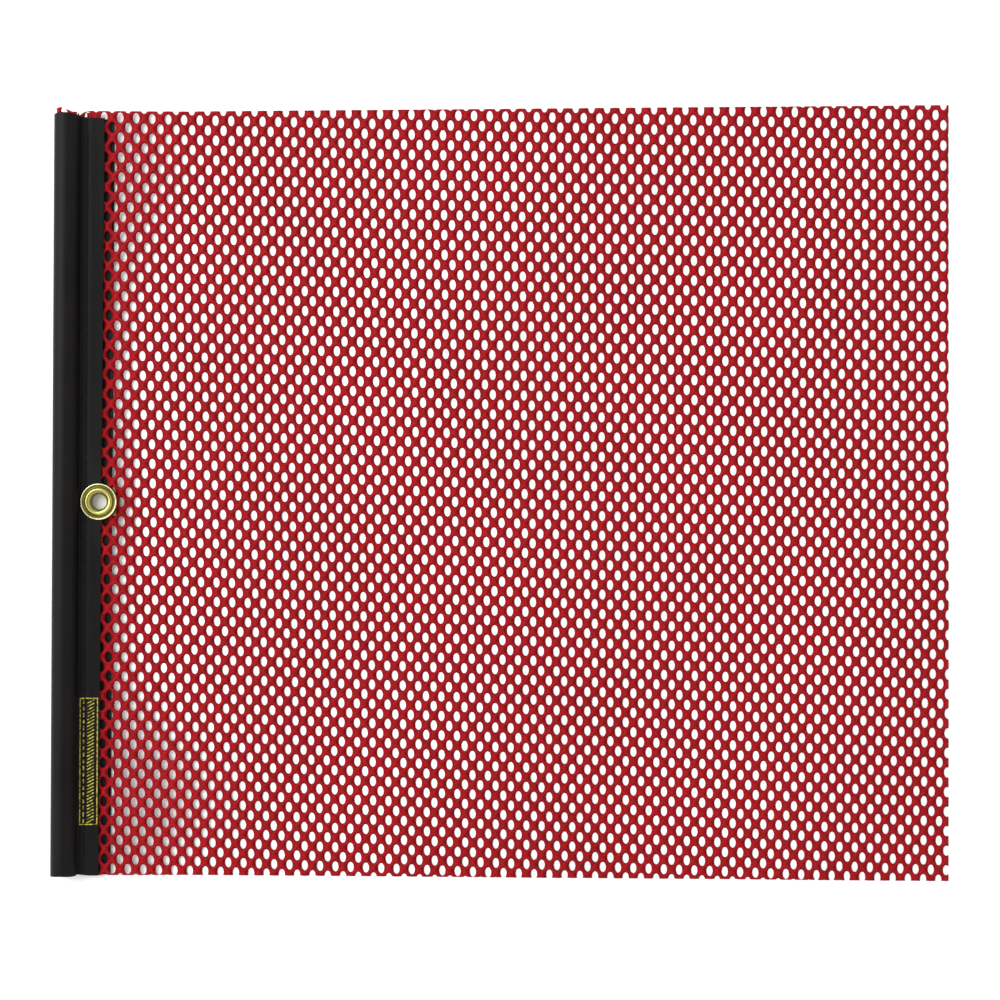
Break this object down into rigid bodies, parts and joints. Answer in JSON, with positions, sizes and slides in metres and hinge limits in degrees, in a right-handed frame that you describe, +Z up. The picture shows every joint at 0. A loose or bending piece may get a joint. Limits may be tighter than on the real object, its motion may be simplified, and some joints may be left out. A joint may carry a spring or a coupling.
{
  "type": "mesh warning flag",
  "caption": "Rectangular open-mesh warning flag lying flat, with a black vinyl hoist sleeve round a dowel staff and a brass grommet at mid-hoist.",
  "frame": {"origin": "bottom centre of the flag's bounding box, on the surface it lies on", "axes": "+X from the hoist to the fly edge, +Y to the head of the hoist, +Z up out of the front face"},
  "size_m": [0.5278, 0.458, 0.0151],
  "materials": {
    "vinyl": "black calendered vinyl, satin, slightly puckered at the seam",
    "cloth": "red warp-knitted polyester mesh with raw cut edges",
    "staff_wood": "plain turned dowel",
    "brass": "pressed sheet brass, lightly polished",
    "thread": "black bonded sewing thread"
  },
  "bodies": {
    "hoist": {"hoist_sleeve": "vinyl", "mesh_hem": "cloth", "grommet_eyelet": "brass", "grommet_washer": "brass", "needle_thread_head": "thread", "needle_thread_foot": "thread", "bobbin_thread_head": "thread", "bobbin_thread_foot": "thread"},
    "cloth": {"mesh_panel": "cloth"},
    "staff": {"staff_rod": "staff_wood"}
  },
  "joints": [
    {"name": "cloth_fold", "type": "hinge", "parent": "hoist", "child": "cloth", "pos_m": [-0.21857, -0.0002, 0.0037], "axis": [-0.0054, -1, 0], "range_deg": [-150, 150]},
    {"name": "staff_slide", "type": "slide", "parent": "hoist", "child": "staff", "axis": [0.0054, 1, 0], "range_m": [-0.4, 0.4]}
  ]
}
